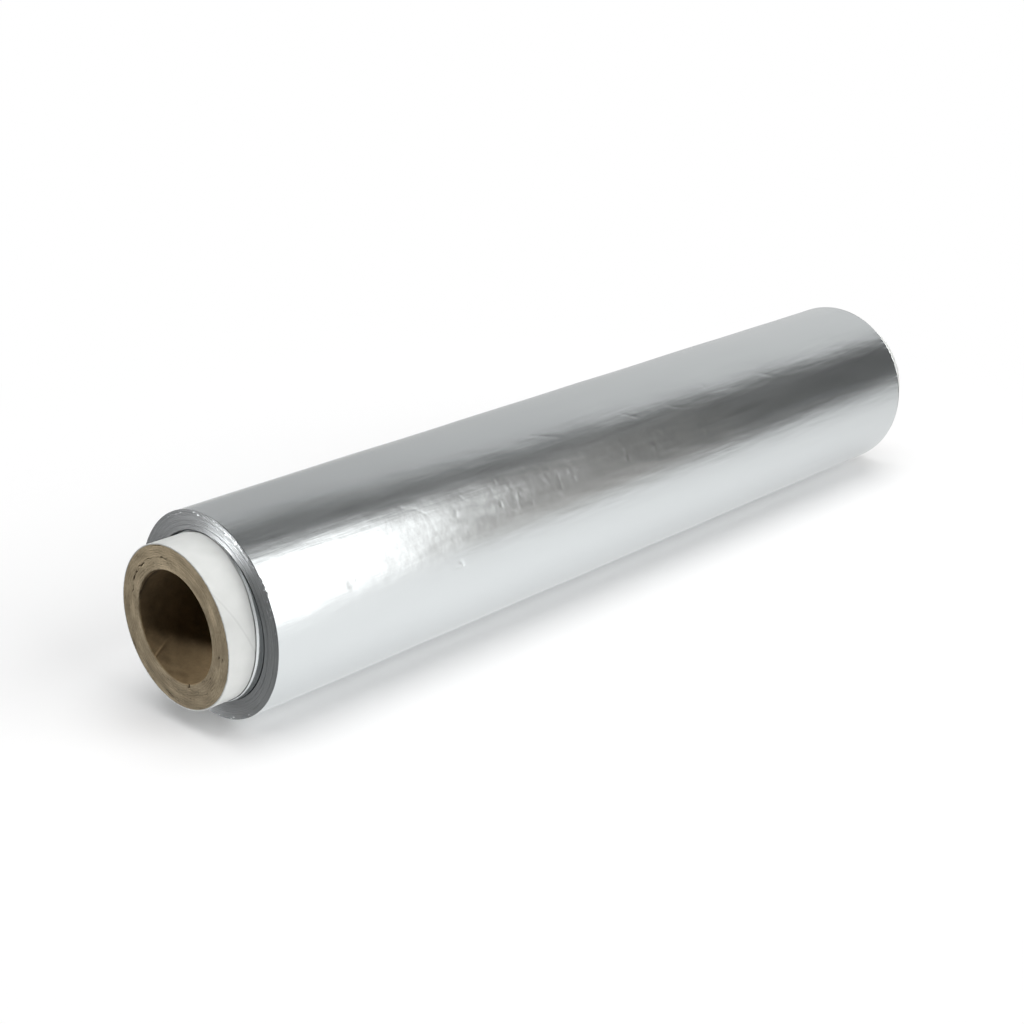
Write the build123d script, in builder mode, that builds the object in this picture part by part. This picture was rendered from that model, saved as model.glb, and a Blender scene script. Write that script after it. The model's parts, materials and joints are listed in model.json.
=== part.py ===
from build123d import *
import math
import os

# Aluminium foil roll, in millimetres: a spiral-wound paperboard core with a white
# paper ply outside, and the foil wound on it. The roll lies on its side with its
# axis along X. The floor is Z = 0, and the end whose first turns stick out is at -X.

# Core: bore, board wall, length left bare at each end, eased bore rim
bore_diameter = 32.0
board_wall = 7.1
core_overhang = 11.0
bore_rim_chamfer = 0.3

# White ply: the paper strip that faces the tube
white_ply = 0.4

# Foil: width of the web, depth of the winding, and the flat that its weight presses
foil_width = 300.0
winding_depth = 6.5
flat_spot_depth = 0.15

# First turns: wound off line, so they stand out at one end and sit back at the other
first_turns_depth = 0.5
first_turns_offset = 3.0

# Slack between the first turns and the rest, which opens as a groove at each end
slack_width = 0.6
slack_depth = 2.0

# Turn edges: groups of turns, each a little further along the axis or back, because
# the web wandered as it was wound
turn_group_depth = 0.5
turn_wander = 0.12
turn_wander_phase = 137.5

# Radii from the bore outwards, and the places that follow from them
bore_radius = bore_diameter / 2
board_radius = bore_radius + board_wall
core_radius = board_radius + white_ply
first_turns_radius = core_radius + first_turns_depth
main_turns_radius = first_turns_radius + slack_width
foil_radius = core_radius + winding_depth
core_length = foil_width + 2 * core_overhang
axis_height = foil_radius - flat_spot_depth

axis_point = (0, 0, axis_height)
roll_axis = Axis(axis_point, (1, 0, 0))
roll_section = Plane(axis_point, x_dir=(1, 0, 0), z_dir=(0, -1, 0))
core_end = Plane(axis_point, x_dir=(0, 1, 0), z_dir=(1, 0, 0)).offset(-core_length / 2)

os.makedirs("parts", exist_ok=True)

# Core tube: brown paperboard plies glued into one thick wall and cut square
with BuildPart() as core_tube:
    with BuildSketch(core_end):
        Circle(board_radius)
        Circle(bore_radius, mode=Mode.SUBTRACT)
    extrude(amount=core_length)
    bore_rims = core_tube.edges().filter_by(GeomType.CIRCLE).group_by(SortBy.RADIUS)[0]
    chamfer(bore_rims, length=bore_rim_chamfer)

core_tube.part.label = "core_tube"
export_step(core_tube.part, "parts/core_tube.step")

# Outer ply: the white paper strip that faces the tube, cut off with it
with BuildPart() as core_outer_ply:
    with BuildSketch(core_end):
        Circle(core_radius)
        Circle(board_radius, mode=Mode.SUBTRACT)
    extrude(amount=core_length)

core_outer_ply.part.label = "core_outer_ply"
export_step(core_outer_ply.part, "parts/core_outer_ply.step")

# Section of the winding, ring by ring from the core outwards. The web is the same
# width all through, so what moves out at the near end moves in at the far end. Only
# the slack goes in at both.
near_face = -foil_width / 2
far_face = foil_width / 2
near_edge = [
    (near_face - first_turns_offset, core_radius),
    (near_face - first_turns_offset, first_turns_radius),
    (near_face + slack_depth, first_turns_radius),
    (near_face + slack_depth, main_turns_radius),
]
far_edge = [
    (far_face - first_turns_offset, core_radius),
    (far_face - first_turns_offset, first_turns_radius),
    (far_face - first_turns_offset - slack_depth, first_turns_radius),
    (far_face - first_turns_offset - slack_depth, main_turns_radius),
]

main_turns_depth = foil_radius - main_turns_radius
group_count = max(1, round(main_turns_depth / turn_group_depth))
for group in range(group_count):
    wander = turn_wander * math.sin(math.radians(turn_wander_phase * group))
    for edge_of_group in (group, group + 1):
        radius = main_turns_radius + main_turns_depth * edge_of_group / group_count
        near_edge.append((near_face + wander, radius))
        far_edge.append((far_face + wander, radius))

# Foil winding: all the turns as one solid, pressed flat where it lies
with BuildPart() as foil_winding:
    with BuildSketch(roll_section):
        with BuildLine():
            Polyline(*near_edge, *reversed(far_edge), close=True)
        make_face()
    revolve(axis=roll_axis)
    split(bisect_by=Plane.XY, keep=Keep.TOP)

foil_winding.part.label = "foil_winding"
export_step(foil_winding.part, "parts/foil_winding.step")
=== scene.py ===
import json
import math

import bmesh
import bpy
import numpy as np
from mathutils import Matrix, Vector


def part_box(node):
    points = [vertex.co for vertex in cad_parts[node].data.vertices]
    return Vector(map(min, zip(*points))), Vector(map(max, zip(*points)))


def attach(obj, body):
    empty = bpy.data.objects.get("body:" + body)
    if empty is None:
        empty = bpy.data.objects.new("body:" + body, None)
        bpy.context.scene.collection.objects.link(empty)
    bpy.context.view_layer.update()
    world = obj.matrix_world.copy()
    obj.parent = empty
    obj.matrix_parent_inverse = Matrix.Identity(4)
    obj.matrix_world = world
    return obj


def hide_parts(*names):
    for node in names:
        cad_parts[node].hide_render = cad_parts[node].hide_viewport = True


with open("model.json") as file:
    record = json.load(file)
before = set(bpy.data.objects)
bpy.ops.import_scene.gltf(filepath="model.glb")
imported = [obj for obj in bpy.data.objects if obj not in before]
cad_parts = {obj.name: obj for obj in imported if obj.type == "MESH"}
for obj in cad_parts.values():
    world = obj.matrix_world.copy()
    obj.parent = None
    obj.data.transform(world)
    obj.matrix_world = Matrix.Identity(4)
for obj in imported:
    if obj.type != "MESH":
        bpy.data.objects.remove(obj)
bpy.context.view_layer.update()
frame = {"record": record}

# A roll of aluminium foil on a paperboard core, lying on its side. Sizes are in millimetres and
# angles in degrees round the roll's axis: 0 faces the front (-Y), 90 is the top.

# Core tube
# A thick tube of brown paperboard: strips of board wound over one another on a mandrel, glued
# and cut off square. The cut end shows the plies as faint rings, with small tears where the blade
# pulled the fibres, and the bore shows the lapped edges of the innermost strip.
MM = 0.001
FULL_TURN = 360.0

core_low, core_high = (np.array(corner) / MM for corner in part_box("core_tube"))
core_half_length = core_high[0]
axis_height = (core_low[2] + core_high[2]) / 2
board_radius = (core_high[2] - core_low[2]) / 2
bore_mount = next(m for m in frame["record"]["mounts"] if m["name"] == "core_bore")
bore_radius = bore_mount["dims"]["r_mm"]

board_ply = 0.62            # thickness of one strip of board
board_ply_count = 32        # plies that get a step and a tone, more than the wall holds
board_ply_wander = 0.10     # how far a ply's ring strays from a true circle
board_ply_step = 0.035      # how far one ply stands back from the next on the cut end
board_ply_tones = (0.91, 1.07)
board_glue_line = 0.09      # width of the line between two plies
board_glue_dark = 0.18
board_fibre_relief = 0.012  # fibres left by the blade
board_cloud_tone, board_strand_tone = 0.09, 0.09   # how much clouds and strands vary its tone
cut_inset = 0.01            # the cut lies this far inside the solid's end
bore_rim = 0.35             # radius worn on the bore's lip
rubbed_width, rubbed_fade, rubbed_pale = 0.75, 0.5, 0.13   # the board round the lip is rubbed paler
core_steps_round = 400
near_face_rings, far_face_rings = 62, 38


def linear(colour):
    """Linear RGBA of an sRGB colour written as hex."""
    shares = [int(colour[i:i + 2], 16) / 255 for i in (1, 3, 5)]
    return [s / 12.92 if s <= 0.04045 else ((s + 0.055) / 1.055) ** 2.4 for s in shares] + [1.0]


def add(tree, kind, sockets=None, **settings):
    """Add a node with its settings, each named socket set to a value or linked from an output."""
    node = tree.nodes.new(kind)
    for setting, value in settings.items():
        setattr(node, setting, value)
    for socket, value in (sockets or {}).items():
        if isinstance(value, bpy.types.NodeSocket):
            tree.links.new(value, node.inputs[socket])
        else:
            node.inputs[socket].default_value = value
    return node


def bare_material(name):
    """New material with an empty node tree."""
    material = bpy.data.materials.new(name)
    material.use_nodes = True
    material.node_tree.nodes.clear()
    return material


def turned_from(angle, centre):
    """Angle from a centre, the short way round."""
    return (angle - centre + FULL_TURN / 2) % FULL_TURN - FULL_TURN / 2


def unevenness(seed, along, angle, length, waves_round, count=30):
    """Seeded smooth unevenness of about one either way: length is the size of its waves in
    millimetres along the first coordinate, waves_round the most waves in a full turn."""
    draw = np.random.default_rng(seed)
    total = 0.0
    for _ in range(count):
        pitch = 2 * math.pi / (length * draw.uniform(0.7, 2.0)) * draw.choice([-1, 1])
        whole_waves = draw.integers(-waves_round, waves_round + 1)
        phase = draw.uniform(0, 2 * math.pi)
        total = total + np.cos(pitch * along + whole_waves * np.radians(angle) + phase)
    return total * math.sqrt(2 / count)


def steps_round(count):
    """Angles of even steps round the axis, as one row."""
    return (np.arange(count) * FULL_TURN / count)[None, :]


def in_scene(name, data):
    """New object in the scene with its mesh, lamp or lens."""
    thing = bpy.data.objects.new(name, data)
    bpy.context.scene.collection.objects.link(thing)
    return thing


def give(piece, name, values, kind="FLOAT"):
    """Give each point of a piece its value, for the material to read."""
    field = "color" if kind == "FLOAT_COLOR" else "value"
    piece.data.attributes.new(name, kind, "POINT").data.foreach_set(field, values.ravel())


def mesh_piece(name, points, faces):
    """New piece of points in millimetres, with faces that list their corners in rows."""
    corners = faces.reshape(-1, faces.shape[-1]).tolist()
    mesh = bpy.data.meshes.new(name)
    mesh.from_pydata((points.reshape(-1, 3) * MM).tolist(), [], corners)
    return in_scene(name, mesh)


def wound_mesh(name, x, radius, angle):
    """Closed mesh of rings round the roll's axis: a row for each ring, whose last joins the
    first, and a column for each step round."""
    x, radius, angle = np.broadcast_arrays(x, radius, angle)
    turn = np.radians(angle)
    points = np.stack([x, -radius * np.cos(turn), axis_height + radius * np.sin(turn)], -1)
    corner = np.arange(x.size).reshape(x.shape)
    ahead = np.roll(corner, -1, 0)
    quads = np.stack([corner, ahead, np.roll(ahead, -1, 1), np.roll(corner, -1, 1)], -1)
    return mesh_piece(name, points, quads)


def soften(piece, sharp_angle=38):
    """Shade a piece smooth and keep its real edges."""
    piece.data.shade_smooth()
    piece.data.set_sharp_from_angle(angle=math.radians(sharp_angle))


# Tears on the near end: middle angle, half span, radius, width. Most lie along one ring that the
# blade pulled open.
near_tears = [
    (99, 6.5, 19.5, 0.30), (118, 4, 19.6, 0.13), (132, 5, 19.4, 0.24), (148, 6, 19.5, 0.26),
    (161, 5, 19.1, 0.15), (102, 9, 22.75, 0.16), (-102, 5, 21.8, 0.42), (-8.5, 1.8, 20.5, 0.28),
    (-8, 1.4, 19.0, 0.20), (-35, 2, 17.9, 0.12), (-34, 1.5, 19.9, 0.15), (-43, 2, 20.1, 0.12),
    (-52, 3, 19.9, 0.11), (-73, 3, 17.6, 0.11), (-59, 3, 17.9, 0.11), (-75, 2.6, 16.5, 0.52),
    (172, 7, 22.4, 0.12), (-150, 6, 22.6, 0.13), (-128, 5, 22.5, 0.12), (40, 8, 20.6, 0.08),
]
far_tears = [(40, 5, 19.8, 0.25), (75, 3, 18.3, 0.16), (170, 6, 21.4, 0.22), (250, 3, 19.2, 0.16)]
tear_depth = 1.5            # depth of a tear for its width
tear_ragged = 0.10          # how far its line strays from the ring
tear_painted_shade, tear_painted_shade_most = 3.0, 0.75   # how dark the painted shade in its opening is for its width, and at most
flake_pale = 0.22           # the lifted fibres along its outer side catch the light
fleck_count, fleck_size, fleck_tones = 300, 0.16, (-0.60, 0.40)
painted_light_angle, painted_light_spread, painted_light_pale = 95.0, 32.0, 0.22   # painted light: the cut ends are drawn paler round the top, where the light falls
painted_shade_dark = 0.20       # and painted shade: darker towards the bottom


def cut_end(radius, angle, seed, tears):
    """Depth of the cut end's relief below the plane of the cut, and its tone, which holds painted light
    and shade.
    """
    wander = board_ply_wander * unevenness(seed, radius, angle, length=40, waves_round=3)
    ply = (radius - bore_radius + wander) / board_ply
    draw = np.random.default_rng(seed)
    ply_index = np.clip(np.floor(ply).astype(int), 0, board_ply_count - 1)
    stands_back = draw.uniform(0, board_ply_step, board_ply_count)[ply_index]
    ply_tone = draw.uniform(*board_ply_tones, board_ply_count)[ply_index]
    glue = np.exp(-((ply - np.round(ply)) * board_ply / board_glue_line) ** 2)
    broken = unevenness(seed + 1, radius, angle, length=3, waves_round=9)
    glue = glue * np.clip(0.45 + 0.6 * broken, 0, 1)
    fibres = np.abs(unevenness(seed + 2, radius, angle, length=0.9, waves_round=90))
    cloudy = unevenness(seed + 4, radius, angle, length=4, waves_round=14)
    strands = unevenness(seed + 6, radius, angle, length=0.5, waves_round=50, count=60)
    depth = cut_inset + stands_back + board_ply_step * glue + board_fibre_relief * fibres
    mottled = 1 + board_cloud_tone * cloudy + board_strand_tone * strands
    # Painted light and shade: the cut end is drawn lighter round its top and darker towards its bottom
    painted_top_light = np.exp(-(turned_from(angle, painted_light_angle) / painted_light_spread) ** 2)
    painted_light_and_shade = (1 + painted_light_pale * painted_top_light
            + painted_shade_dark * np.cos(np.radians(angle - painted_light_angle)))
    tone = ply_tone * (1 - board_glue_dark * glue) * mottled * painted_light_and_shade
    ragged = tear_ragged * unevenness(seed + 3, 0 * radius, angle, length=5, waves_round=70)
    worn = np.clip(0.7 + 0.5 * unevenness(seed + 5, radius, angle, length=2, waves_round=90), 0.15, 1.2)
    for centre, half_span, at_radius, width in tears:
        reach = np.clip(1 - (turned_from(angle, centre) / half_span) ** 2, 0, 1)
        line = at_radius + ragged
        gap = np.exp(-((radius - line) / (width * worn)) ** 4) * np.sqrt(reach)
        flake = np.exp(-((radius - line - 2 * width) / width) ** 2) * reach * worn
        depth = depth + tear_depth * width * gap
        # The tear's opening is darkened with painted shade
        tone = tone * (1 - min(tear_painted_shade_most, tear_painted_shade * width) * gap) * (1 + flake_pale * flake)
    fleck_angles = draw.uniform(0, FULL_TURN, fleck_count)
    fleck_radii = draw.uniform(bore_radius, board_radius, fleck_count)
    fleck_pales = draw.uniform(*fleck_tones, fleck_count)
    for at_angle, at_radius, pale in zip(fleck_angles, fleck_radii, fleck_pales):
        arc = np.radians(turned_from(angle, at_angle)) * at_radius
        off = (arc / (2 * fleck_size)) ** 2 + ((radius - at_radius) / fleck_size) ** 2
        tone = tone * (1 + pale * np.exp(-off))
    rubbed = np.clip((bore_radius + rubbed_width - radius) / rubbed_fade, 0, 1)
    return depth, tone * (1 + rubbed_pale * rubbed)


core_angle = steps_round(core_steps_round)
face_near = np.linspace(bore_radius + bore_rim, board_radius, near_face_rings)[:, None]
face_far = np.linspace(board_radius, bore_radius + bore_rim, far_face_rings)[:, None]
near_depth, near_tone = cut_end(face_near, core_angle, 11, near_tears)
far_depth, far_tone = cut_end(face_far, core_angle, 23, far_tears)

# Bore: rings crowd towards both mouths, where the eye reaches
bore_from_far = np.concatenate([
    core_half_length - bore_rim - np.geomspace(0.02, 40, 30),
    np.linspace(115, -115, 16),
    -core_half_length + bore_rim + np.geomspace(45, 0.02, 56),
])[:, None]
near_mouth = bore_from_far + core_half_length
liner_lead = 178.0          # the liner's lapped edge, millimetres of bore for each turn
liner_edge_angle = -130.2   # where it meets the near mouth
liner_edge_width = 0.35
liner_edge_height = 0.16
liner_edge_shows = 5.5      # it is pressed flat further in
# the raised edge is drawn paler, as a painted highlight
liner_edge_painted_highlight = 0.30
liner_tone = (0.58, 0.51, 0.42)   # the bore's paper is drawn darker and browner than the board
liner_off = turned_from(core_angle, liner_edge_angle - near_mouth / liner_lead * FULL_TURN)
liner_arc = np.radians(liner_off) * bore_radius
liner_edge = np.exp(-(liner_arc / liner_edge_width) ** 2 - (near_mouth / liner_edge_shows) ** 4)

# A second strip ends just inside the near mouth, and leaves a step that slants in from it, with a
# painted shadow along it
lap_middle, lap_half_span = 143.0, 26.0
lap_from_mouth, lap_slant = 0.82, 0.037   # how far in it lies, and how much less for each degree
lap_edge, lap_fade, lap_fade_to = 0.12, 1.1, 9.0   # its step's width, and how it fades further in
# the step's depth, and how dark the painted shadow along it is
lap_depth, lap_painted_shadow = 0.32, 0.9
lap_angle = turned_from(core_angle, lap_middle)
past_lap = near_mouth - (lap_from_mouth - lap_slant * lap_angle)
lap_reach = np.clip(1 - (lap_angle / lap_half_span) ** 2, 0, 1)
mouth_lap = np.clip(past_lap / lap_edge, 0, 1) * np.exp(-np.clip(past_lap, 0, lap_fade_to) / lap_fade)
mouth_lap = mouth_lap * np.sqrt(lap_reach)

bore_wrinkle = 0.03         # height of the liner's wrinkles
bore_cloud_tone, bore_fibre_tone = 0.08, 0.06
bore_wrinkles = bore_wrinkle * unevenness(31, bore_from_far, core_angle, length=9, waves_round=7)
bore_wall = bore_radius + bore_wrinkles - liner_edge_height * liner_edge + lap_depth * mouth_lap
bore_clouds = bore_cloud_tone * unevenness(37, bore_from_far, core_angle, length=14, waves_round=5)
bore_fibres = bore_fibre_tone * unevenness(38, bore_from_far, core_angle, length=4, waves_round=22)
# Painted highlight along the liner's raised edge, and painted shadow along the lap's step
bore_tone = (1 + liner_edge_painted_highlight * liner_edge) * (1 - lap_painted_shadow * mouth_lap)
bore_tone = bore_tone * (1 + bore_clouds + bore_fibres)

wall_x = np.array([-core_half_length + 0.1, 0, core_half_length - 0.1])[:, None]   # under the ply
flat = np.ones((1, core_steps_round))
core_x = np.concatenate([
    -core_half_length + near_depth, wall_x * flat, core_half_length - far_depth, bore_from_far * flat])
core_r = np.concatenate([
    face_near * flat, np.full_like(wall_x, board_radius) * flat, face_far * flat, bore_wall])
core_tone = np.concatenate([near_tone, np.ones_like(wall_x) * flat, far_tone, bore_tone])
core_tone = np.stack([core_tone] * 3 + [np.ones_like(core_tone)], -1)
core_tone[-len(bore_tone):, :, :3] *= liner_tone
core = wound_mesh("core_tube_board", core_x, core_r, core_angle)
give(core, "tone", core_tone, "FLOAT_COLOR")
soften(core)


def matt_stock(tree, colour, relief, strength, height, roughness, shine):
    """Finish a matt material of paper fibres: a colour times each point's tone, over a relief."""
    tone = add(tree, "ShaderNodeAttribute", attribute_name="tone")
    toned = add(tree, "ShaderNodeMix", {0: 1.0, 6: colour, 7: tone.outputs["Color"]},
                data_type="RGBA", blend_type="MULTIPLY")
    raised = add(tree, "ShaderNodeBump", {
        "Height": relief, "Strength": strength, "Distance": height * MM})
    matt = add(tree, "ShaderNodeBsdfPrincipled", {
        "Base Color": toned.outputs[2], "Roughness": roughness, "IOR": 1.45,
        "Specular IOR Level": shine, "Normal": raised.outputs["Normal"]})
    add(tree, "ShaderNodeOutputMaterial", {"Surface": matt.outputs["BSDF"]})


# Kraft board, wound and sawn: matt brown, mottled by long fibres, with the ply rings and torn
# fibres of the cut carried in its tone. The tone also holds painted light and shade: paler tops and
# darker bottoms on the cut ends, painted shade in the tears, a painted shadow along the step inside
# the near mouth and a painted highlight along the liner's raised edge
fibre_clump = 0.9           # breadth of a clump of fibres
board_mottle = 7.0          # and of the cloudy patches
board_dark, board_pale = "#6C5D48", "#CCBDA1"
kraft = bare_material("kraft_board_sawn")
tree = kraft.node_tree
place = add(tree, "ShaderNodeTexCoord")
fibres = add(tree, "ShaderNodeTexNoise", {
    "Vector": place.outputs["Object"], "Scale": 1 / (fibre_clump * MM), "Detail": 6, "Roughness": 0.7})
mottle = add(tree, "ShaderNodeTexNoise", {
    "Vector": place.outputs["Object"], "Scale": 1 / (board_mottle * MM), "Detail": 3})
blend = add(tree, "ShaderNodeMath", {0: fibres.outputs["Fac"], 1: mottle.outputs["Fac"], 2: 0.25},
            operation="MULTIPLY_ADD")
brown = add(tree, "ShaderNodeMix", {
    0: blend.outputs[0], 6: linear(board_dark), 7: linear(board_pale)}, data_type="RGBA")
matt_stock(tree, brown.outputs[2], fibres.outputs["Fac"], strength=0.6, height=0.08,
           roughness=0.92, shine=0.25)
core.data.materials.append(kraft)
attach(core, "root")
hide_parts("core_tube")

# White outer ply
# A strip of white paper wound in a spiral round the tube and glued down, so that its two edges
# meet in a fine seam that climbs round the core. It is cut off with the tube.
ply_radius = (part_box("core_outer_ply")[1].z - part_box("core_outer_ply")[0].z) / 2 / MM
seam_lead = 65.7            # millimetres along the core for each turn of the seam
seam_angle = 40.5           # where the seam meets the near end
seam_width = 0.16
seam_depth = 0.10
seam_dark = 0.12
seam_lap, seam_lap_pale = 1.0, 0.02   # the strip's edge beside the seam is pressed smooth
ply_pucker = 0.012          # height of the wrinkles that the glue left
ply_clearance = 0.02        # the paper lies this far under the solid's surface
ply_fray = 0.04             # unevenness of the cut edge
ply_bare_length = core_half_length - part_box("foil_winding")[1].x / MM
ply_steps_round = 480
gap_shadow_reach, gap_shadow_dark = 0.3, 0.75   # painted shadow in the gap along the edge of the foil's first turns

# The foil's first turns went on askew, and stand out past the rest by this much at the near end
web_half_width = 150.0      # the web is slit to 300 mm
askew_mean, askew_swing = 0.75, 1.9
askew_angle = -45.0         # where they stand out furthest
askew_wave = 0.05           # unevenness of their edge


def stands_out(angle):
    """How far the first turns stand out past the web's near edge."""
    askew = askew_mean + askew_swing * np.cos(np.radians(angle - askew_angle))
    return askew + askew_wave * unevenness(61, 0 * angle, angle, length=5, waves_round=14)


ply_angle = steps_round(ply_steps_round)
bare_rows = np.linspace(0.12, ply_bare_length + 1, 48)   # close rows where the ply shows
ply_rows = np.concatenate([
    -core_half_length + bare_rows, np.linspace(-140, 140, 8), core_half_length - bare_rows[::-1],
])[:, None]
seam_turned = (ply_rows + core_half_length) / seam_lead * FULL_TURN
seam_off = turned_from(ply_angle, seam_angle - seam_turned)
seam_slope = math.atan(seam_lead / (2 * math.pi * ply_radius))
seam_gap = np.radians(seam_off) * ply_radius * math.sin(seam_slope)
seam = np.exp(-(seam_gap / seam_width) ** 2)
lapped = np.clip(1 - np.abs(2 * seam_gap / seam_lap - 1), 0, 1)
puckers = ply_pucker * np.abs(unevenness(41, ply_rows, ply_angle, length=7, waves_round=12))
ply_outer = ply_radius - ply_clearance - puckers - seam_depth * seam

# The cut edge: three rings from the board out, frayed, with the board's dust on the inner ones
edge_radii = np.array([board_radius, board_radius + 0.15, ply_radius - 0.16])[:, None]
edge_tones = np.array([0.62, 0.75, 0.95])[:, None]
fray = ply_fray * np.abs(unevenness(43, 0 * ply_angle, ply_angle, length=5, waves_round=70))
cut_back = cut_inset + fray * np.ones_like(edge_radii)
flat = np.ones((1, ply_steps_round))
ply_x = np.concatenate([-core_half_length + cut_back, ply_rows * flat, core_half_length - cut_back])
ply_r = np.concatenate([edge_radii * flat, ply_outer, edge_radii[::-1] * flat])
past_foil = ply_rows + web_half_width + stands_out(ply_angle)
# Painted shadow on the ply along the edge of the foil's first turns
painted_gap_shadow = np.clip(past_foil / gap_shadow_reach + 0.8, 0, 1) * (ply_rows < 0)
paper_tone = (1 - seam_dark * seam + seam_lap_pale * lapped) * (1 - gap_shadow_dark * painted_gap_shadow)
ply_tone = np.concatenate([edge_tones * flat, paper_tone, edge_tones[::-1] * flat])
white_ply = wound_mesh("core_outer_ply_paper", ply_x, ply_r, ply_angle)
give(white_ply, "tone", ply_tone)
soften(white_ply)

# White paper, calendered: matt and even, faintly cloudy, its cut edge tinted by the board's dust, with
# a painted shadow laid along the foil's first turns
paper_cloud = 4.0           # breadth of the cloudy patches
paper_tooth = 0.25          # and of the fibres' relief
paper_shade, paper_light = "#DCDEDB", "#E9EAE8"
paper = bare_material("white_paper_calendered")
tree = paper.node_tree
place = add(tree, "ShaderNodeTexCoord")
cloud = add(tree, "ShaderNodeTexNoise", {
    "Vector": place.outputs["Object"], "Scale": 1 / (paper_cloud * MM), "Detail": 4})
tooth = add(tree, "ShaderNodeTexNoise", {
    "Vector": place.outputs["Object"], "Scale": 1 / (paper_tooth * MM), "Detail": 3})
white = add(tree, "ShaderNodeMix", {
    0: cloud.outputs["Fac"], 6: linear(paper_shade), 7: linear(paper_light)}, data_type="RGBA")
matt_stock(tree, white.outputs[2], tooth.outputs["Fac"], strength=0.25, height=0.03,
           roughness=0.7, shine=0.3)
white_ply.data.materials.append(paper)
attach(white_ply, "root")
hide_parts("core_outer_ply")

# First turns
# The first turns of the web, wound tight on the core before it ran true. They went on askew, so at
# the near end they stand out as a thin collar, further at the front than on top, and at the far end
# they sit back by as much.
foil_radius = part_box("foil_winding")[1].z / MM - axis_height
first_turns_depth = 0.6
first_turns_pucker = 0.02   # height of their wrinkles under the other turns
collar_radius = ply_radius + first_turns_depth
first_steps_round = 360

first_angle = steps_round(first_steps_round)
first_out = stands_out(first_angle)
# Section of the lip from the gap round the core: distance in from the edge, height over the core
lip = [(1.2, 0.02), (1.2, 0.18), (0.0, 0.22), (0.0, 0.28), (0.10, 0.35), (0.30, 0.44), (0.60, 0.53),
       (1.0, 0.58), (1.4, first_turns_depth)]
lip_in = np.array([inwards for inwards, _ in lip])[:, None]
lip_over = np.array([height for _, height in lip])[:, None]
first_rows = np.linspace(-web_half_width + 2.6, web_half_width - 5, 40)[:, None]
uneven = unevenness(67, first_rows, first_angle, length=4, waves_round=26)
lip_radius = ply_radius + lip_over + 0 * first_angle
first_x = np.concatenate([
    -web_half_width - first_out + lip_in, first_rows + 0 * first_angle,
    (web_half_width - first_out - lip_in)[::-1]])
first_r = np.concatenate([
    lip_radius, collar_radius - first_turns_pucker * np.abs(uneven), lip_radius[::-1]])
first_turns = wound_mesh("foil_first_turns", first_x, first_r, first_angle)
soften(first_turns, sharp_angle=60)

# Mill-rolled aluminium foil: bright satin metal. Rolling and winding leave fine lines along the
# roll and a faint crinkle, which spread its reflections round the roll and fray their edges.
rolled_line = 2.2           # breadth of the broadest lines, the finest being an eighth of that
rolled_length = 34.0
crinkle, crinkle_share = 4.0, 0.4   # breadth of the crinkle, and its height beside the lines'
foil_colour = "#DCE0E1"
rolled_foil = bare_material("aluminium_foil_mill_rolled")
tree = rolled_foil.node_tree
place = add(tree, "ShaderNodeTexCoord")
drawn_out = add(tree, "ShaderNodeMapping", {
    "Vector": place.outputs["Object"],
    "Scale": (1 / (rolled_length * MM), 1 / (rolled_line * MM), 1 / (rolled_line * MM))})
lines = add(tree, "ShaderNodeTexNoise", {
    "Vector": drawn_out.outputs["Vector"], "Scale": 1.0, "Detail": 3, "Roughness": 0.6})
crinkled = add(tree, "ShaderNodeTexNoise", {
    "Vector": place.outputs["Object"], "Scale": 1 / (crinkle * MM), "Detail": 2})
relief = add(tree, "ShaderNodeMath", {
    0: crinkled.outputs["Fac"], 1: crinkle_share, 2: lines.outputs["Fac"]}, operation="MULTIPLY_ADD")
satin = add(tree, "ShaderNodeMapRange", {
    "Value": lines.outputs["Fac"], "From Min": 0.3, "From Max": 0.7, "To Min": 0.22, "To Max": 0.27})
raised = add(tree, "ShaderNodeBump", {
    "Height": relief.outputs[0], "Strength": 1.0, "Distance": 0.07 * MM})
round_axis = add(tree, "ShaderNodeTangent", direction_type="RADIAL", axis="X")
bright_metal = add(tree, "ShaderNodeBsdfPrincipled", {
    "Base Color": linear(foil_colour), "Metallic": 1.0, "Roughness": satin.outputs["Result"],
    "Anisotropic": 0.78, "Tangent": round_axis.outputs["Tangent"],
    "Normal": raised.outputs["Normal"]})
add(tree, "ShaderNodeOutputMaterial", {"Surface": bright_metal.outputs["BSDF"]})
first_turns.data.materials.append(rolled_foil)
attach(first_turns, "root")
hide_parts("foil_winding")

# Foil winding
# Some hundreds of turns of thin aluminium web, slit to width and wound over the first turns under
# tension, with a little slack between the two. The edges of the turns make the ringed end faces.
slack_depth = 1.0
slack_mean, slack_swing, slack_least = 0.15, 0.06, 0.06   # width of the slack
slack_widest_angle = -45.0  # low in front
slack_wave = 0.03           # unevenness of its width
slack_clearance = 0.01      # between its floor and the first turns
group_depth = 0.5           # depth of a group of turns that lie alike
group_wander = 0.03         # how far a group stands out or back
group_phase = 137.5         # degrees from group to group, so that neighbours differ
drawn_turns = 40            # far fewer than the real turns, so that each one can show
turn_filled = 0.86          # share of a drawn turn's depth that its edge fills
turn_scatter = 0.014        # how far single turns stand out or back
turn_ripple = 0.02          # how far an edge wanders along the axis round one turn
burr_count, knocked_count = 45, 34   # bent bits of edge, most of them on the outer turns
knocked_angle, knocked_spread = 55.0, 24.0   # where the rim was knocked the most
burr_turns = 6              # how many drawn turns deep most of them lie
burr_heights, burr_spans = (0.04, 0.15), (0.4, 1.1)   # millimetres and degrees
outer_turn_depth = 0.5      # what the outer turn below covers
rim_room, rim_set_back = 0.16, 0.12   # the last drawn turn ends this far under the rim, and in from it
tucked_under = 0.05         # and the mesh goes on this far under the outer turn
edge_steps_round = 540

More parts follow.
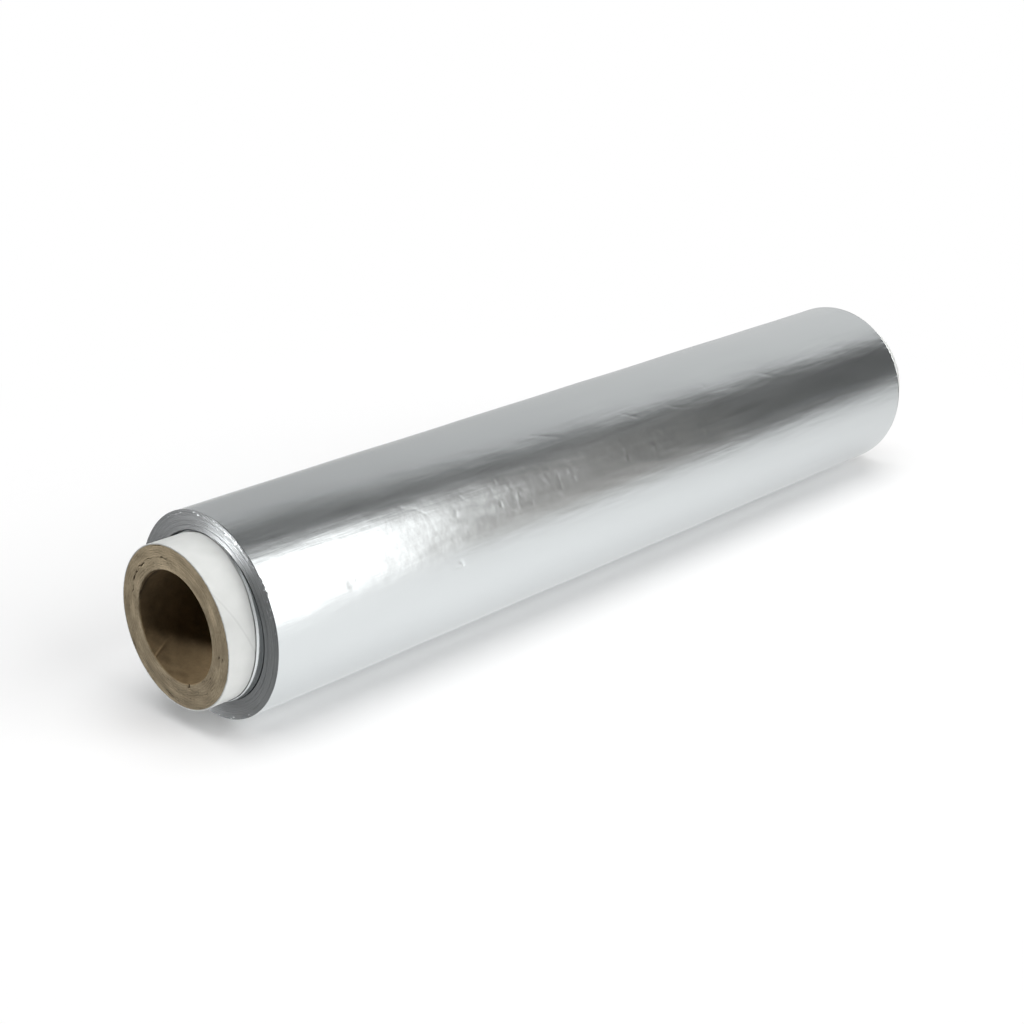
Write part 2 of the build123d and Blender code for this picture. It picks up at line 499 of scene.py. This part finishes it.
edge_angle = steps_round(edge_steps_round)
slack_width = slack_mean + slack_swing * np.cos(np.radians(edge_angle - slack_widest_angle))
slack_width += slack_wave * unevenness(51, 0 * edge_angle, edge_angle, length=5, waves_round=7)
turns_from = collar_radius + np.maximum(slack_width, slack_least)
turns_to = foil_radius - rim_room
turn_draw = np.random.default_rng(57)
scatter = turn_draw.normal(0, turn_scatter, drawn_turns)
burr_angles = np.concatenate([
    turn_draw.uniform(0, FULL_TURN, burr_count),
    turn_draw.normal(knocked_angle, knocked_spread, knocked_count)])
burrs = [(at_angle, drawn_turns - 1 - abs(turn_draw.normal(0, burr_turns)),
          turn_draw.uniform(*burr_heights), turn_draw.uniform(*burr_spans)) for at_angle in burr_angles]


def turn_edges(side):
    """Rings of one end face from the slack out, the near end as side -1: x, radius and bend."""
    sits_back = 0 if side < 0 else askew_mean + askew_swing
    slack_x = side * (web_half_width - sits_back - slack_depth)
    rings = [(slack_x, collar_radius + slack_clearance, 0), (slack_x, turns_from, 0)]
    for turn in range(drawn_turns):
        inner = turns_from + (turns_to - turns_from) * turn / drawn_turns
        outer = turns_from + (turns_to - turns_from) * (turn + turn_filled) / drawn_turns
        group = int((turn / drawn_turns) * (turns_to - turns_from.min()) / group_depth)
        wander = group_wander * math.sin(math.radians(group_phase * group)) + scatter[turn]
        ripple = unevenness(70 + turn // 3, 0 * edge_angle, edge_angle, length=5, waves_round=11)
        bent = 0
        for at_angle, at_turn, height, span in burrs:
            off = (turned_from(edge_angle, at_angle) / span) ** 2 + (turn - at_turn) ** 2
            bent = bent + height * np.exp(-off)
        edge_x = side * (web_half_width + bent) + wander + turn_ripple * ripple
        rings.append((edge_x, inner, bent))
        rings.append((edge_x, outer, bent))
    rim_x = side * (web_half_width - rim_set_back)
    rings.append((rim_x, turns_to, 0))
    rings.append((rim_x, foil_radius - outer_turn_depth - tucked_under, 0))
    return rings


edge_rings = turn_edges(-1) + turn_edges(1)[::-1]
edge_x, edge_r, edge_bent = (
    np.stack([np.broadcast_to(value, edge_angle.shape)[0] for value in values])
    for values in zip(*edge_rings))
# Pressed flat where the roll lies
pressed = np.minimum(edge_r, axis_height / np.maximum(-np.sin(np.radians(edge_angle)), 0.5))
winding = wound_mesh("foil_turn_edges", edge_x, pressed, edge_angle)
give(winding, "bent", edge_bent)
soften(winding, sharp_angle=50)

# Slit aluminium foil edges: bright metal seen edge on, darkened by the gaps between turns, with a
# ring for each turn that spreads its highlights into fans across the end. A bent bit of edge shows
# the bright face of the foil.
turn_line = 0.16            # real turns lie about 0.011 mm apart, drawn coarser so that they show
bright_bends = 0.04, 0.13   # an edge bent this far starts to show the foil's face, or shows it all
foil_edge_colour = "#868889"
slit_edges = bare_material("aluminium_foil_slit_edges")
tree = slit_edges.node_tree
place = add(tree, "ShaderNodeTexCoord")
off_axis = add(tree, "ShaderNodeVectorMath", {
    0: place.outputs["Object"], 1: (0, 0, axis_height * MM)}, operation="SUBTRACT")
across = add(tree, "ShaderNodeVectorMath", {0: off_axis.outputs[0], 1: (0, 1, 1)}, operation="MULTIPLY")
from_axis = add(tree, "ShaderNodeVectorMath", {0: across.outputs[0]}, operation="LENGTH")
in_lines = add(tree, "ShaderNodeMath", {0: from_axis.outputs["Value"], 1: 1 / (turn_line * MM)},
               operation="MULTIPLY")
lines = add(tree, "ShaderNodeTexNoise", {"W": in_lines.outputs[0], "Scale": 1.0, "Detail": 3},
            noise_dimensions="1D")
shade = add(tree, "ShaderNodeMapRange", {
    "Value": lines.outputs["Fac"], "From Min": 0.3, "From Max": 0.7, "To Min": 0.62, "To Max": 1.0})
grey = add(tree, "ShaderNodeMix", {0: 1.0, 6: linear(foil_edge_colour), 7: shade.outputs["Result"]},
           data_type="RGBA", blend_type="MULTIPLY")
bent = add(tree, "ShaderNodeAttribute", attribute_name="bent")
turned_up = add(tree, "ShaderNodeMapRange", {
    "Value": bent.outputs["Fac"], "From Min": bright_bends[0], "From Max": bright_bends[1]})
edge_or_face = add(tree, "ShaderNodeMix", {
    0: turned_up.outputs["Result"], 6: grey.outputs[2], 7: linear(foil_colour)}, data_type="RGBA")
raised = add(tree, "ShaderNodeBump", {
    "Height": lines.outputs["Fac"], "Strength": 0.35, "Distance": 0.05 * MM})
round_axis = add(tree, "ShaderNodeTangent", direction_type="RADIAL", axis="X")
edge_metal = add(tree, "ShaderNodeBsdfPrincipled", {
    "Base Color": edge_or_face.outputs[2], "Metallic": 1.0, "Roughness": 0.44, "Anisotropic": 0.85,
    "Anisotropic Rotation": 0.25, "Tangent": round_axis.outputs["Tangent"],
    "Normal": raised.outputs["Normal"]})
add(tree, "ShaderNodeOutputMaterial", {"Surface": edge_metal.outputs["BSDF"]})
winding.data.materials.append(slit_edges)
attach(winding, "root")
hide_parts("foil_winding")

# Outer turn
# The last turn of the web, bright from the rolling mill. It lies over the winding's unevenness, so
# it waves slightly, and handling has left small creases. Its cut tail lies flat at the back.
web_drawn = 0.09            # step at the tail; the web is about 0.011 mm, drawn coarser to show
tail_angle = 208.0
tail_wave, tail_wave_length = 0.9, 40.0   # degrees that the cut tail strays, and over what length
tail_reach = 14.0           # degrees beside the tail that stray with it
outer_slack = 0.10          # room under the nominal radius for the waves
outer_clearance = 0.005     # it stays this far inside the solid's surface
long_wave, long_wave_height = 70.0, 0.035
broad_wave, broad_wave_height = 26.0, 0.008
streak_length, streak_height = 18.0, 0.008   # lines left by the mill's rolls and by winding
handled_x, handled_angle = -12.0, 33.0   # patch wrinkled by handling
handled_length, handled_span = 68.0, 14.0
wrinkle, wrinkle_height = 3.6, 0.005     # the wrinkles there
grip_mark_count, grip_run, grip_spans = 64, 1.3, (2.0, 6.0)   # short marks, most of them round the roll
grip_depths, grip_half_width = (0.003, 0.012), 0.7
rim_nick_count, nick_runs, nick_slant = 60, (0.2, 0.9), 1.5   # nicks knocked into the two rims
nick_depths, nick_half_width = (0.03, 0.11), 0.5
rim_reach = 0.9             # width of the rim that drifts and is pulled in by nicks
rim_drift, nick_pull = 0.05, 0.5   # how far it drifts, and how far a nick pulls it in for its depth
edge_round = 0.02           # rounding of the rim's edge
rim_foot_in, rim_foot_height = 0.05, 0.08   # where the rim's wall turns in at its foot
outer_steps_round = 320
outer_half_width = web_half_width - 0.15   # its rim lies just inside the winding's

# Creases: start x and angle, end x and angle, depth, half width
creases = [
    (-122.8, 21.7, -122.9, 14.8, 0.07, 0.9), (-122.9, 14.8, -119.6, 20.0, 0.05, 1.2),
    (-83.0, 8.6, -81.4, 5.0, 0.16, 0.9), (-85.4, 4.8, -81.2, 4.9, 0.10, 0.8),
    (-98.7, 49.5, -95.5, 45.5, 0.010, 0.9), (-95.5, 45.5, -90.5, 42.5, 0.008, 0.9),
    (-91.5, 42.5, -89.5, 37.5, 0.010, 0.8), (-62.0, 31.8, -62.2, 27.6, 0.03, 0.8),
    (-53.7, 32.5, -53.9, 29.5, 0.02, 0.7), (-36.2, 35.0, -36.5, 25.5, 0.015, 0.9),
    (-4.2, 32.0, -4.4, 26.0, 0.035, 0.8), (-37.5, 64.5, -25.0, 55.0, 0.030, 1.3),
    (2.5, 58.5, 10.0, 50.0, 0.026, 1.2), (25.0, 51.0, 32.0, 46.5, 0.032, 1.1),
    (32.0, 46.5, 40.0, 44.5, 0.032, 1.1), (46.0, 59.0, 46.3, 54.0, 0.035, 0.9),
    (73.7, 54.0, 82.5, 45.5, 0.036, 1.2), (-134.5, 79.5, -134.3, 75.5, 0.03, 0.8),
    (-90.0, -45.0, -85.5, -56.0, 0.04, 1.0), (-58.7, -44.0, -55.5, -52.0, 0.04, 1.0),
    (60.0, 150.0, 71.0, 158.0, 0.04, 1.2), (-20.0, 172.0, -19.5, 163.0, 0.05, 0.9),
    (-70.0, 140.0, -62.0, 133.0, 0.03, 1.2), (105.0, 190.0, 110.0, 182.0, 0.05, 1.0),
    (20.0, 118.0, 31.0, 112.0, 0.025, 1.2),
]
crease_draw = np.random.default_rng(79)
for _ in range(grip_mark_count):   # where the roll was gripped
    at_x = crease_draw.normal(handled_x, 0.65 * handled_length)
    at_angle = crease_draw.normal(handled_angle, 0.55 * handled_span)
    run = crease_draw.normal(0, grip_run)
    span = crease_draw.uniform(*grip_spans)
    depth = crease_draw.uniform(*grip_depths)
    creases.append((at_x, at_angle, at_x + run, at_angle + span, depth, grip_half_width))
for nick in range(rim_nick_count):
    side = (-1, 1)[nick % 2]
    at_angle = crease_draw.uniform(0, FULL_TURN)
    run = crease_draw.uniform(*nick_runs)
    slant = crease_draw.normal(0, nick_slant)
    depth = crease_draw.uniform(*nick_depths)
    creases.append((side * outer_half_width, at_angle, side * (outer_half_width - run),
                    at_angle + slant, depth, nick_half_width))


def above_foot(radius):
    """Share of the way up from the foot of the rim to the foil's surface."""
    return np.clip((radius - foil_radius + outer_turn_depth) / outer_turn_depth, 0, 1)


outer_angle = tail_angle + np.arange(outer_steps_round + 1) * FULL_TURN / outer_steps_round
outer_angle = outer_angle[None, :]
under = web_drawn * (outer_angle - tail_angle) / FULL_TURN
# Rows along the roll lie closest where it was handled
outer_rows = np.concatenate([
    np.linspace(-outer_half_width + 0.45, -114, 14), np.linspace(-112, 60, 144),
    np.linspace(62.5, outer_half_width - 0.45, 34)])
# Section of the rim's wall from its foot up: distance in from the rim, radius
rim_in = np.array([rim_foot_in, 0, 0, edge_round])
rim_radii = [foil_radius - outer_turn_depth, foil_radius - outer_turn_depth + rim_foot_height,
             foil_radius - outer_slack - edge_round, foil_radius]
outer_x = np.concatenate([-outer_half_width + rim_in, outer_rows, outer_half_width - rim_in[::-1]])
outer_r = np.concatenate([rim_radii, np.full(len(outer_rows), foil_radius), rim_radii[::-1]])
outer_x, outer_r = outer_x[:, None], outer_r[:, None]
outer_turn = wound_mesh("foil_outer_turn", outer_x, outer_r - under * above_foot(outer_r), outer_angle)


def crease_distance(x, angle, crease):
    """Distance in millimetres over the foil from one crease, and the share of the way along it."""
    start_x, start_angle, end_x, end_angle = crease[:4]
    arc = np.radians(turned_from(angle, start_angle)) * foil_radius
    run_x, run_arc = end_x - start_x, math.radians(end_angle - start_angle) * foil_radius
    share = ((x - start_x) * run_x + arc * run_arc) / (run_x ** 2 + run_arc ** 2)
    held = np.clip(share, 0, 1)
    return np.hypot(x - start_x - held * run_x, arc - held * run_arc), share


def around_axis(points):
    """x, radius and angle of points given in metres."""
    y, z = points[:, 1] / MM, points[:, 2] / MM - axis_height
    return points[:, 0] / MM, np.hypot(y, z), np.degrees(np.arctan2(z, -y)) % FULL_TURN


# The mesh is cut finer along the creases, so that their folds are real: within this share of a
# crease's half width and a margin beyond
finer_share, finer_margin, finer_cuts = 1.6, 0.6, 2
work = bmesh.new()
work.from_mesh(outer_turn.data)
middles = np.array([face.calc_center_median() for face in work.faces])
face_x, face_r, face_angle = around_axis(middles)
creased = np.zeros(len(face_x), bool)
for crease in creases:
    away, _ = crease_distance(face_x, face_angle, crease)
    creased |= away < finer_share * crease[-1] + finer_margin
creased &= face_r > foil_radius - 2 * outer_slack
edges = {edge for face, chosen in zip(work.faces, creased) if chosen for edge in face.edges}
bmesh.ops.subdivide_edges(work, edges=list(edges), cuts=finer_cuts, use_grid_fill=True)
work.to_mesh(outer_turn.data)
work.free()

# Then the whole surface sinks by its waves, streaks, wrinkles and folds
points = np.zeros(len(outer_turn.data.vertices) * 3)
outer_turn.data.vertices.foreach_get("co", points)
points = points.reshape(-1, 3)
foil_x, foil_r, foil_angle = around_axis(points)
long_waves = unevenness(81, foil_x, foil_angle, long_wave, waves_round=3)
streaks = unevenness(83, foil_x, foil_angle, streak_length, waves_round=80, count=90)
broad_waves = unevenness(87, foil_x, foil_angle, broad_wave, waves_round=6)
wrinkles = unevenness(89, foil_x, foil_angle, wrinkle, waves_round=54)
patchy = np.clip(0.55 + 0.7 * unevenness(91, foil_x, foil_angle, length=14, waves_round=12), 0.1, 1.4)
handled = np.exp(-((foil_x - handled_x) / handled_length) ** 2
                 - (turned_from(foil_angle, handled_angle) / handled_span) ** 2)
sunk = outer_slack + long_wave_height * long_waves + streak_height * streaks
sunk += broad_wave_height * broad_waves + wrinkle_height * handled * patchy * wrinkles
fold_end, fold_sharpness = 0.15, 1.4   # share of a fold's depth left at its ends, and how keen it is
folded = np.zeros_like(sunk)
for crease in creases:
    away, share = crease_distance(foil_x, foil_angle, crease)
    depth, half_width = crease[4:]
    taper = np.clip(1 + fold_end - (2 * np.clip(share, 0, 1) - 1) ** 2, 0, 1)
    folded += depth * taper * np.clip(1 - away / half_width, 0, 1) ** fold_sharpness
new_r = foil_r - np.maximum(sunk + folded, outer_clearance) * above_foot(foil_r)
tail_shift = tail_wave * unevenness(93, foil_x, 0 * foil_x, tail_wave_length, waves_round=1)
tail_shift *= np.exp(-(turned_from(foil_angle, tail_angle) / tail_reach) ** 2)
new_turn = np.radians(foil_angle + tail_shift)
at_rim = np.clip((np.abs(foil_x) - outer_half_width + rim_reach) / rim_reach, 0, 1)
drift = rim_drift * np.abs(unevenness(97, 0 * foil_angle, foil_angle, length=5, waves_round=9))
points[:, 0] = (foil_x - np.sign(foil_x) * at_rim * (drift + nick_pull * folded)) * MM
points[:, 1] = -new_r * np.cos(new_turn) * MM
points[:, 2] = np.maximum(axis_height + new_r * np.sin(new_turn), 0) * MM
outer_turn.data.vertices.foreach_set("co", points.ravel())
outer_turn.data.update()
soften(outer_turn, sharp_angle=30)

outer_turn.data.materials.append(rolled_foil)
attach(outer_turn, "root")
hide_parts("foil_winding")

# Studio floor
# A seamless sheet of pale studio paper, laid flat under the roll. It takes the roll's soft shadow
# and runs out to plain white.
floor_radius, floor_sides = 6000.0, 96
floor_colour = "#F6F6F6"
card_black = "#202020"
card_from, card_to = 165.0, 200.0   # where the black cards past the core's ends begin
shadow_kept, white_from = 100.0, 320.0   # how far out the shadow is kept whole, and where it ends
shadow_in_metal = 0.38      # how much of the shadow the metal shows
far_from, far_to, far_dimmed = -60.0, 300.0, 0.28   # where the metal sees less of its white
floor_rim = np.radians(steps_round(floor_sides)[0])
floor_points = floor_radius * np.stack([np.cos(floor_rim), np.sin(floor_rim), 0 * floor_rim], -1)
floor = mesh_piece("studio_floor", floor_points, np.arange(floor_sides))


def seen_rays(tree):
    """The light path, and an output that is 1 where the camera, metal or glass sees the surface."""
    ray = add(tree, "ShaderNodeLightPath")
    seen = ray.outputs["Is Camera Ray"]
    for kind in ("Is Glossy Ray", "Is Transmission Ray"):
        either = add(tree, "ShaderNodeMath", {0: seen, 1: ray.outputs[kind]}, operation="MAXIMUM")
        seen = either.outputs[0]
    return ray, seen


# Matt studio paper: even and pale, and plain white where the shadow has run out
pale_sheet = bare_material("pale_studio_paper")
tree = pale_sheet.node_tree
place = add(tree, "ShaderNodeTexCoord")
away = add(tree, "ShaderNodeVectorMath", {0: place.outputs["Object"]}, operation="LENGTH")
run_out = add(tree, "ShaderNodeMapRange", {
    "Value": away.outputs["Value"], "From Min": shadow_kept * MM, "From Max": white_from * MM},
    interpolation_type="SMOOTHSTEP")
ray, seen = seen_rays(tree)
lightened = add(tree, "ShaderNodeMath", {0: ray.outputs["Is Glossy Ray"], 1: 1 - shadow_in_metal},
                operation="MULTIPLY")
whitened = add(tree, "ShaderNodeMath", {0: run_out.outputs["Result"], 1: lightened.outputs[0]},
               operation="MAXIMUM")
share = add(tree, "ShaderNodeMath", {0: whitened.outputs[0], 1: seen}, operation="MULTIPLY")
# Past the core's ends the sheet throws back no light, as if black cards lay there, so that the
# bore stays dark, and towards the far end the metal sees less of its white
along = add(tree, "ShaderNodeSeparateXYZ", {"Vector": place.outputs["Object"]})
from_middle = add(tree, "ShaderNodeMath", {0: along.outputs["X"]}, operation="ABSOLUTE")
past_end = add(tree, "ShaderNodeMapRange", {
    "Value": from_middle.outputs[0], "From Min": card_from * MM, "From Max": card_to * MM})
kept_dark = add(tree, "ShaderNodeMath", {
    0: past_end.outputs["Result"], 1: ray.outputs["Is Diffuse Ray"]}, operation="MULTIPLY")
thrown_back = add(tree, "ShaderNodeMix", {
    0: kept_dark.outputs[0], 6: linear(floor_colour), 7: linear(card_black)}, data_type="RGBA")
dimmed = add(tree, "ShaderNodeMapRange", {
    "Value": along.outputs["X"], "From Min": far_from * MM, "From Max": far_to * MM,
    "To Max": far_dimmed})
dimmed_in_metal = add(tree, "ShaderNodeMath", {
    0: dimmed.outputs["Result"], 1: ray.outputs["Is Glossy Ray"]}, operation="MULTIPLY")
strength = add(tree, "ShaderNodeMath", {0: 1.0, 1: dimmed_in_metal.outputs[0]}, operation="SUBTRACT")
matt = add(tree, "ShaderNodeBsdfDiffuse", {"Color": thrown_back.outputs[2]})
plain_white = add(tree, "ShaderNodeEmission", {"Color": (1, 1, 1, 1), "Strength": strength.outputs[0]})
both = add(tree, "ShaderNodeMixShader", {
    0: share.outputs[0], 1: matt.outputs[0], 2: plain_white.outputs[0]})
add(tree, "ShaderNodeOutputMaterial", {"Surface": both.outputs[0]})
floor.data.materials.append(pale_sheet)

# Studio tent
# A grey tent round the roll, which only its metal sees: a wide soft window in front, a dim board
# beside it, a dark gap towards the far end, and paler walls over the top and at the back. The same
# again, turned half round, serves the other side.
tent_radius = 1500.0
# Places on it are given by the share along the roll's axis, from -1 towards the near end to 1
# towards the far end, and by the angle round it
window_glow = 2.6
window_fades = 0.48, 0.655  # shares where the window fades out
window_skew, window_skew_top = 0.0008, 70.0   # it reaches further for each degree up, to this one
window_near, window_near_fades = 0.3, (-0.1, 0.45)   # and is dimmer towards the near end
window_top, window_lean, window_soft = 108.0, 91.0, 7.0   # its top edge comes down with the share
board_glow = 0.165          # a dim board between the window and the far end, of a warm white
board_fades = 0.71, 0.775
board_top = 45, 75
board_colour = "#FFF7EE"
strip_glow = 0.20           # and a strip of light low on it
strip_starts, strip_ends, strip_top = (0.58, 0.64), (0.72, 0.78), (4, 20)
gap_glow = 0.095
wall_glow, wall_brightens = 0.21, 0.60
wall_foot, wall_foot_lean = 153.0, 108.0   # where the walls begin, lower with the share
wall_rise, wall_rise_lean, wall_rise_least = 49.0, 47.0, 8.0   # over how many degrees they brighten
leans_from = 0.5            # share from which the window's top and the walls' foot come down


def fade(value, start, end):
    """Smooth step from 0 at the start to 1 at the end."""
    run = np.clip((value - start) / (end - start), 0, 1)
    return run * run * (3 - 2 * run)


def tent_glow(along, angle):
    """Brightness of the tent towards a direction, given by its share along the roll's axis and its
    angle round the axis, and the part of it that comes from the board."""
    held = np.clip(along, leans_from, 1)
    wall = wall_glow + wall_brightens * held
    foot = wall_foot - wall_foot_lean * held
    rise = np.maximum(wall_rise - wall_rise_lean * held, wall_rise_least)
    walls = gap_glow + (wall - gap_glow) * fade(angle, foot, foot + rise)
    top = window_top - window_lean * held
    skewed = along - window_skew * (np.clip(angle, 0, window_skew_top) - window_skew_top / 2)
    window = window_glow * (1 - fade(skewed, *window_fades))
    window = window * (window_near + (1 - window_near) * fade(along, *window_near_fades))
    window = window * (1 - fade(angle, top - window_soft, top + window_soft))
    board = board_glow * (1 - fade(along, *board_fades)) * (1 - fade(angle, *board_top))
    strip = strip_glow * fade(along, *strip_starts) * (1 - fade(along, *strip_ends))
    board = board + strip * (1 - fade(angle, *strip_top))
    return np.stack([walls + window + board, board])


from_pole = np.linspace(0, 180, 91)[None, :]
tent_angle = np.linspace(-8, 188, 131)[:, None]
tent_along = np.cos(np.radians(from_pole)) + 0 * tent_angle
front_share = fade(tent_along, -0.3, 0.3)
front_glow = tent_glow(tent_along, tent_angle)
back_glow = tent_glow(-tent_along, 180 - tent_angle)
tent_tone, board_tone = front_share * front_glow + (1 - front_share) * back_glow
tent_across, tent_turn = np.sin(np.radians(from_pole)), np.radians(tent_angle)
tent_towards = np.stack([
    tent_along, -tent_across * np.cos(tent_turn), tent_across * np.sin(tent_turn)], -1)


def sheet_of_light(name, radius, towards, glow):
    """A curved sheet round the roll, which only metal sees: rows of directions from the roll's
    middle, with a brightness at each."""
    corner = np.arange(glow.size).reshape(glow.shape)
    quads = np.stack([corner[:-1, :-1], corner[:-1, 1:], corner[1:, 1:], corner[1:, :-1]], -1)
    sheet = mesh_piece(name, radius * towards + [0, 0, axis_height], quads)
    give(sheet, "glow", glow)
    for rays in ("camera", "diffuse", "transmission", "volume_scatter", "shadow"):
        setattr(sheet, "visible_" + rays, False)
    return sheet


tent = sheet_of_light("studio_tent", tent_radius, tent_towards, tent_tone)
give(tent, "board", board_tone / tent_tone)

# White cloth lit from behind: glows as brightly as each point says, warmer where the board is
tent_cloth = bare_material("graded_tent_cloth")
tent_cloth.cycles.emission_sampling = "NONE"
tree = tent_cloth.node_tree
glow = add(tree, "ShaderNodeAttribute", attribute_name="glow")
on_board = add(tree, "ShaderNodeAttribute", attribute_name="board")
tint = add(tree, "ShaderNodeMix", {
    0: on_board.outputs["Fac"], 6: (1, 1, 1, 1), 7: linear(board_colour)}, data_type="RGBA")
lit = add(tree, "ShaderNodeEmission", {"Color": tint.outputs[2], "Strength": glow.outputs["Fac"]})
add(tree, "ShaderNodeOutputMaterial", {"Surface": lit.outputs[0]})
tent.data.materials.append(tent_cloth)

# Edge lamps
# A tall strip lamp past each end, which rakes the edges of the turns into a fan of light. Nothing
# else sees it.
lamp_radius = 1300.0
# The lamp's middle line as bearings and heights in degrees
lamp_line = [(-121.5, 0), (-120, 3), (-116, 11), (-112, 20), (-108, 29), (-105, 37), (-103, 42)]
lamp_along = [0, 0.6, 1, 1, 1, 0.6, 0]     # its brightness fades towards both tips
lamp_across = [0, 0.5, 1, 1, 1, 0.5, 0]    # and towards both sides
lamp_half_width = 14.0                     # degrees of bearing
lamp_glow = 28.0


def direction(bearing, height):
    """Unit vector towards a bearing from the front towards +X, at a height above the floor."""
    b, h = math.radians(bearing), math.radians(height)
    return Vector((math.sin(b) * math.cos(h), -math.cos(b) * math.cos(h), math.sin(h)))


# Opal glass over a strip lamp: an even glow that fades out at its edges and hides nothing behind
lamp_glass = bare_material("diffused_strip_lamp")
lamp_glass.cycles.emission_sampling = "NONE"
tree = lamp_glass.node_tree
glow = add(tree, "ShaderNodeAttribute", attribute_name="glow")
lit = add(tree, "ShaderNodeEmission", {"Strength": glow.outputs["Fac"]})
clear = add(tree, "ShaderNodeBsdfTransparent")
both = add(tree, "ShaderNodeAddShader", {0: lit.outputs[0], 1: clear.outputs[0]})
add(tree, "ShaderNodeOutputMaterial", {"Surface": both.outputs[0]})
edges_only = bpy.data.collections.new("lit_by_edge_lamps")
edges_only.objects.link(winding)
lamp_tone = lamp_glow * np.outer(lamp_along, lamp_across)
sideways = np.linspace(-lamp_half_width, lamp_half_width, len(lamp_across))
for end, half_turn in (("near", 0), ("far", 180)):
    lamp_towards = np.array([
        [direction(bearing + off + half_turn, height) for off in sideways]
        for bearing, height in lamp_line])
    lamp = sheet_of_light("edge_lamp_" + end, lamp_radius, lamp_towards, lamp_tone)
    lamp.data.materials.append(lamp_glass)
    lamp.light_linking.receiver_collection = edges_only

# Studio lights
# A small hard key high behind the near end, a broad fill in front, a light for the floor alone, and
# an even room.
room_share = 0.045
# Name, bearing, height and spread in degrees, share of full light, what it lights
suns = [
    ("key", -114.0, 51.0, 13.0, 0.75, "roll"),
    ("fill", 20.0, 24.0, 50.0, 0.70, "all"),
    ("floor_light", 0.0, 90.0, 60.0, 0.78, "floor"),
]
lit_by = {"roll": [core, white_ply, first_turns, winding, outer_turn], "floor": [floor]}
for name, bearing, height, spread, share, lights in suns:
    sun = bpy.data.lights.new(name, "SUN")
    sun.angle = math.radians(spread)
    sun.energy = share * math.pi
    sun_piece = in_scene(name, sun)
    sun_piece.rotation_euler = direction(bearing, height).to_track_quat("Z", "Y").to_euler()
    sun_piece.visible_glossy = False   # the metal sees the tent instead
    if lights in lit_by:
        receivers = bpy.data.collections.new("lit_by_" + name)
        for receiver in lit_by[lights]:
            receivers.objects.link(receiver)
        sun_piece.light_linking.receiver_collection = receivers

room = bpy.data.worlds.new("white_room")
bpy.context.scene.world = room
room.use_nodes = True
tree = room.node_tree
tree.nodes.clear()
_, seen = seen_rays(tree)
level = add(tree, "ShaderNodeMapRange", {"Value": seen, "To Min": room_share, "To Max": 1.0})
light = add(tree, "ShaderNodeBackground", {"Color": (1, 1, 1, 1), "Strength": level.outputs["Result"]})
add(tree, "ShaderNodeOutputWorld", {"Surface": light.outputs[0]})
bpy.context.scene.view_settings.view_transform = "Standard"

# Camera
# The photograph's viewpoint: above the near end and to its front, about half a metre away, through
# a lens a little longer than a normal one.
camera_bearing, camera_height, camera_distance = -46.4464, 21.041, 551.4573
camera_target = Vector((-30.2572, 0, 26.5121)) * MM
sensor_width, focal_length = 36.0, 60.8525
lens = bpy.data.cameras.new("camera")
lens.sensor_width, lens.lens = sensor_width, focal_length
lens.sensor_fit = "HORIZONTAL"
lens.clip_end = 100
camera = in_scene("camera", lens)
towards = direction(camera_bearing, camera_height)
camera.location = camera_target + towards * camera_distance * MM
camera.rotation_euler = towards.to_track_quat("Z", "Y").to_euler()
bpy.context.scene.camera = camera
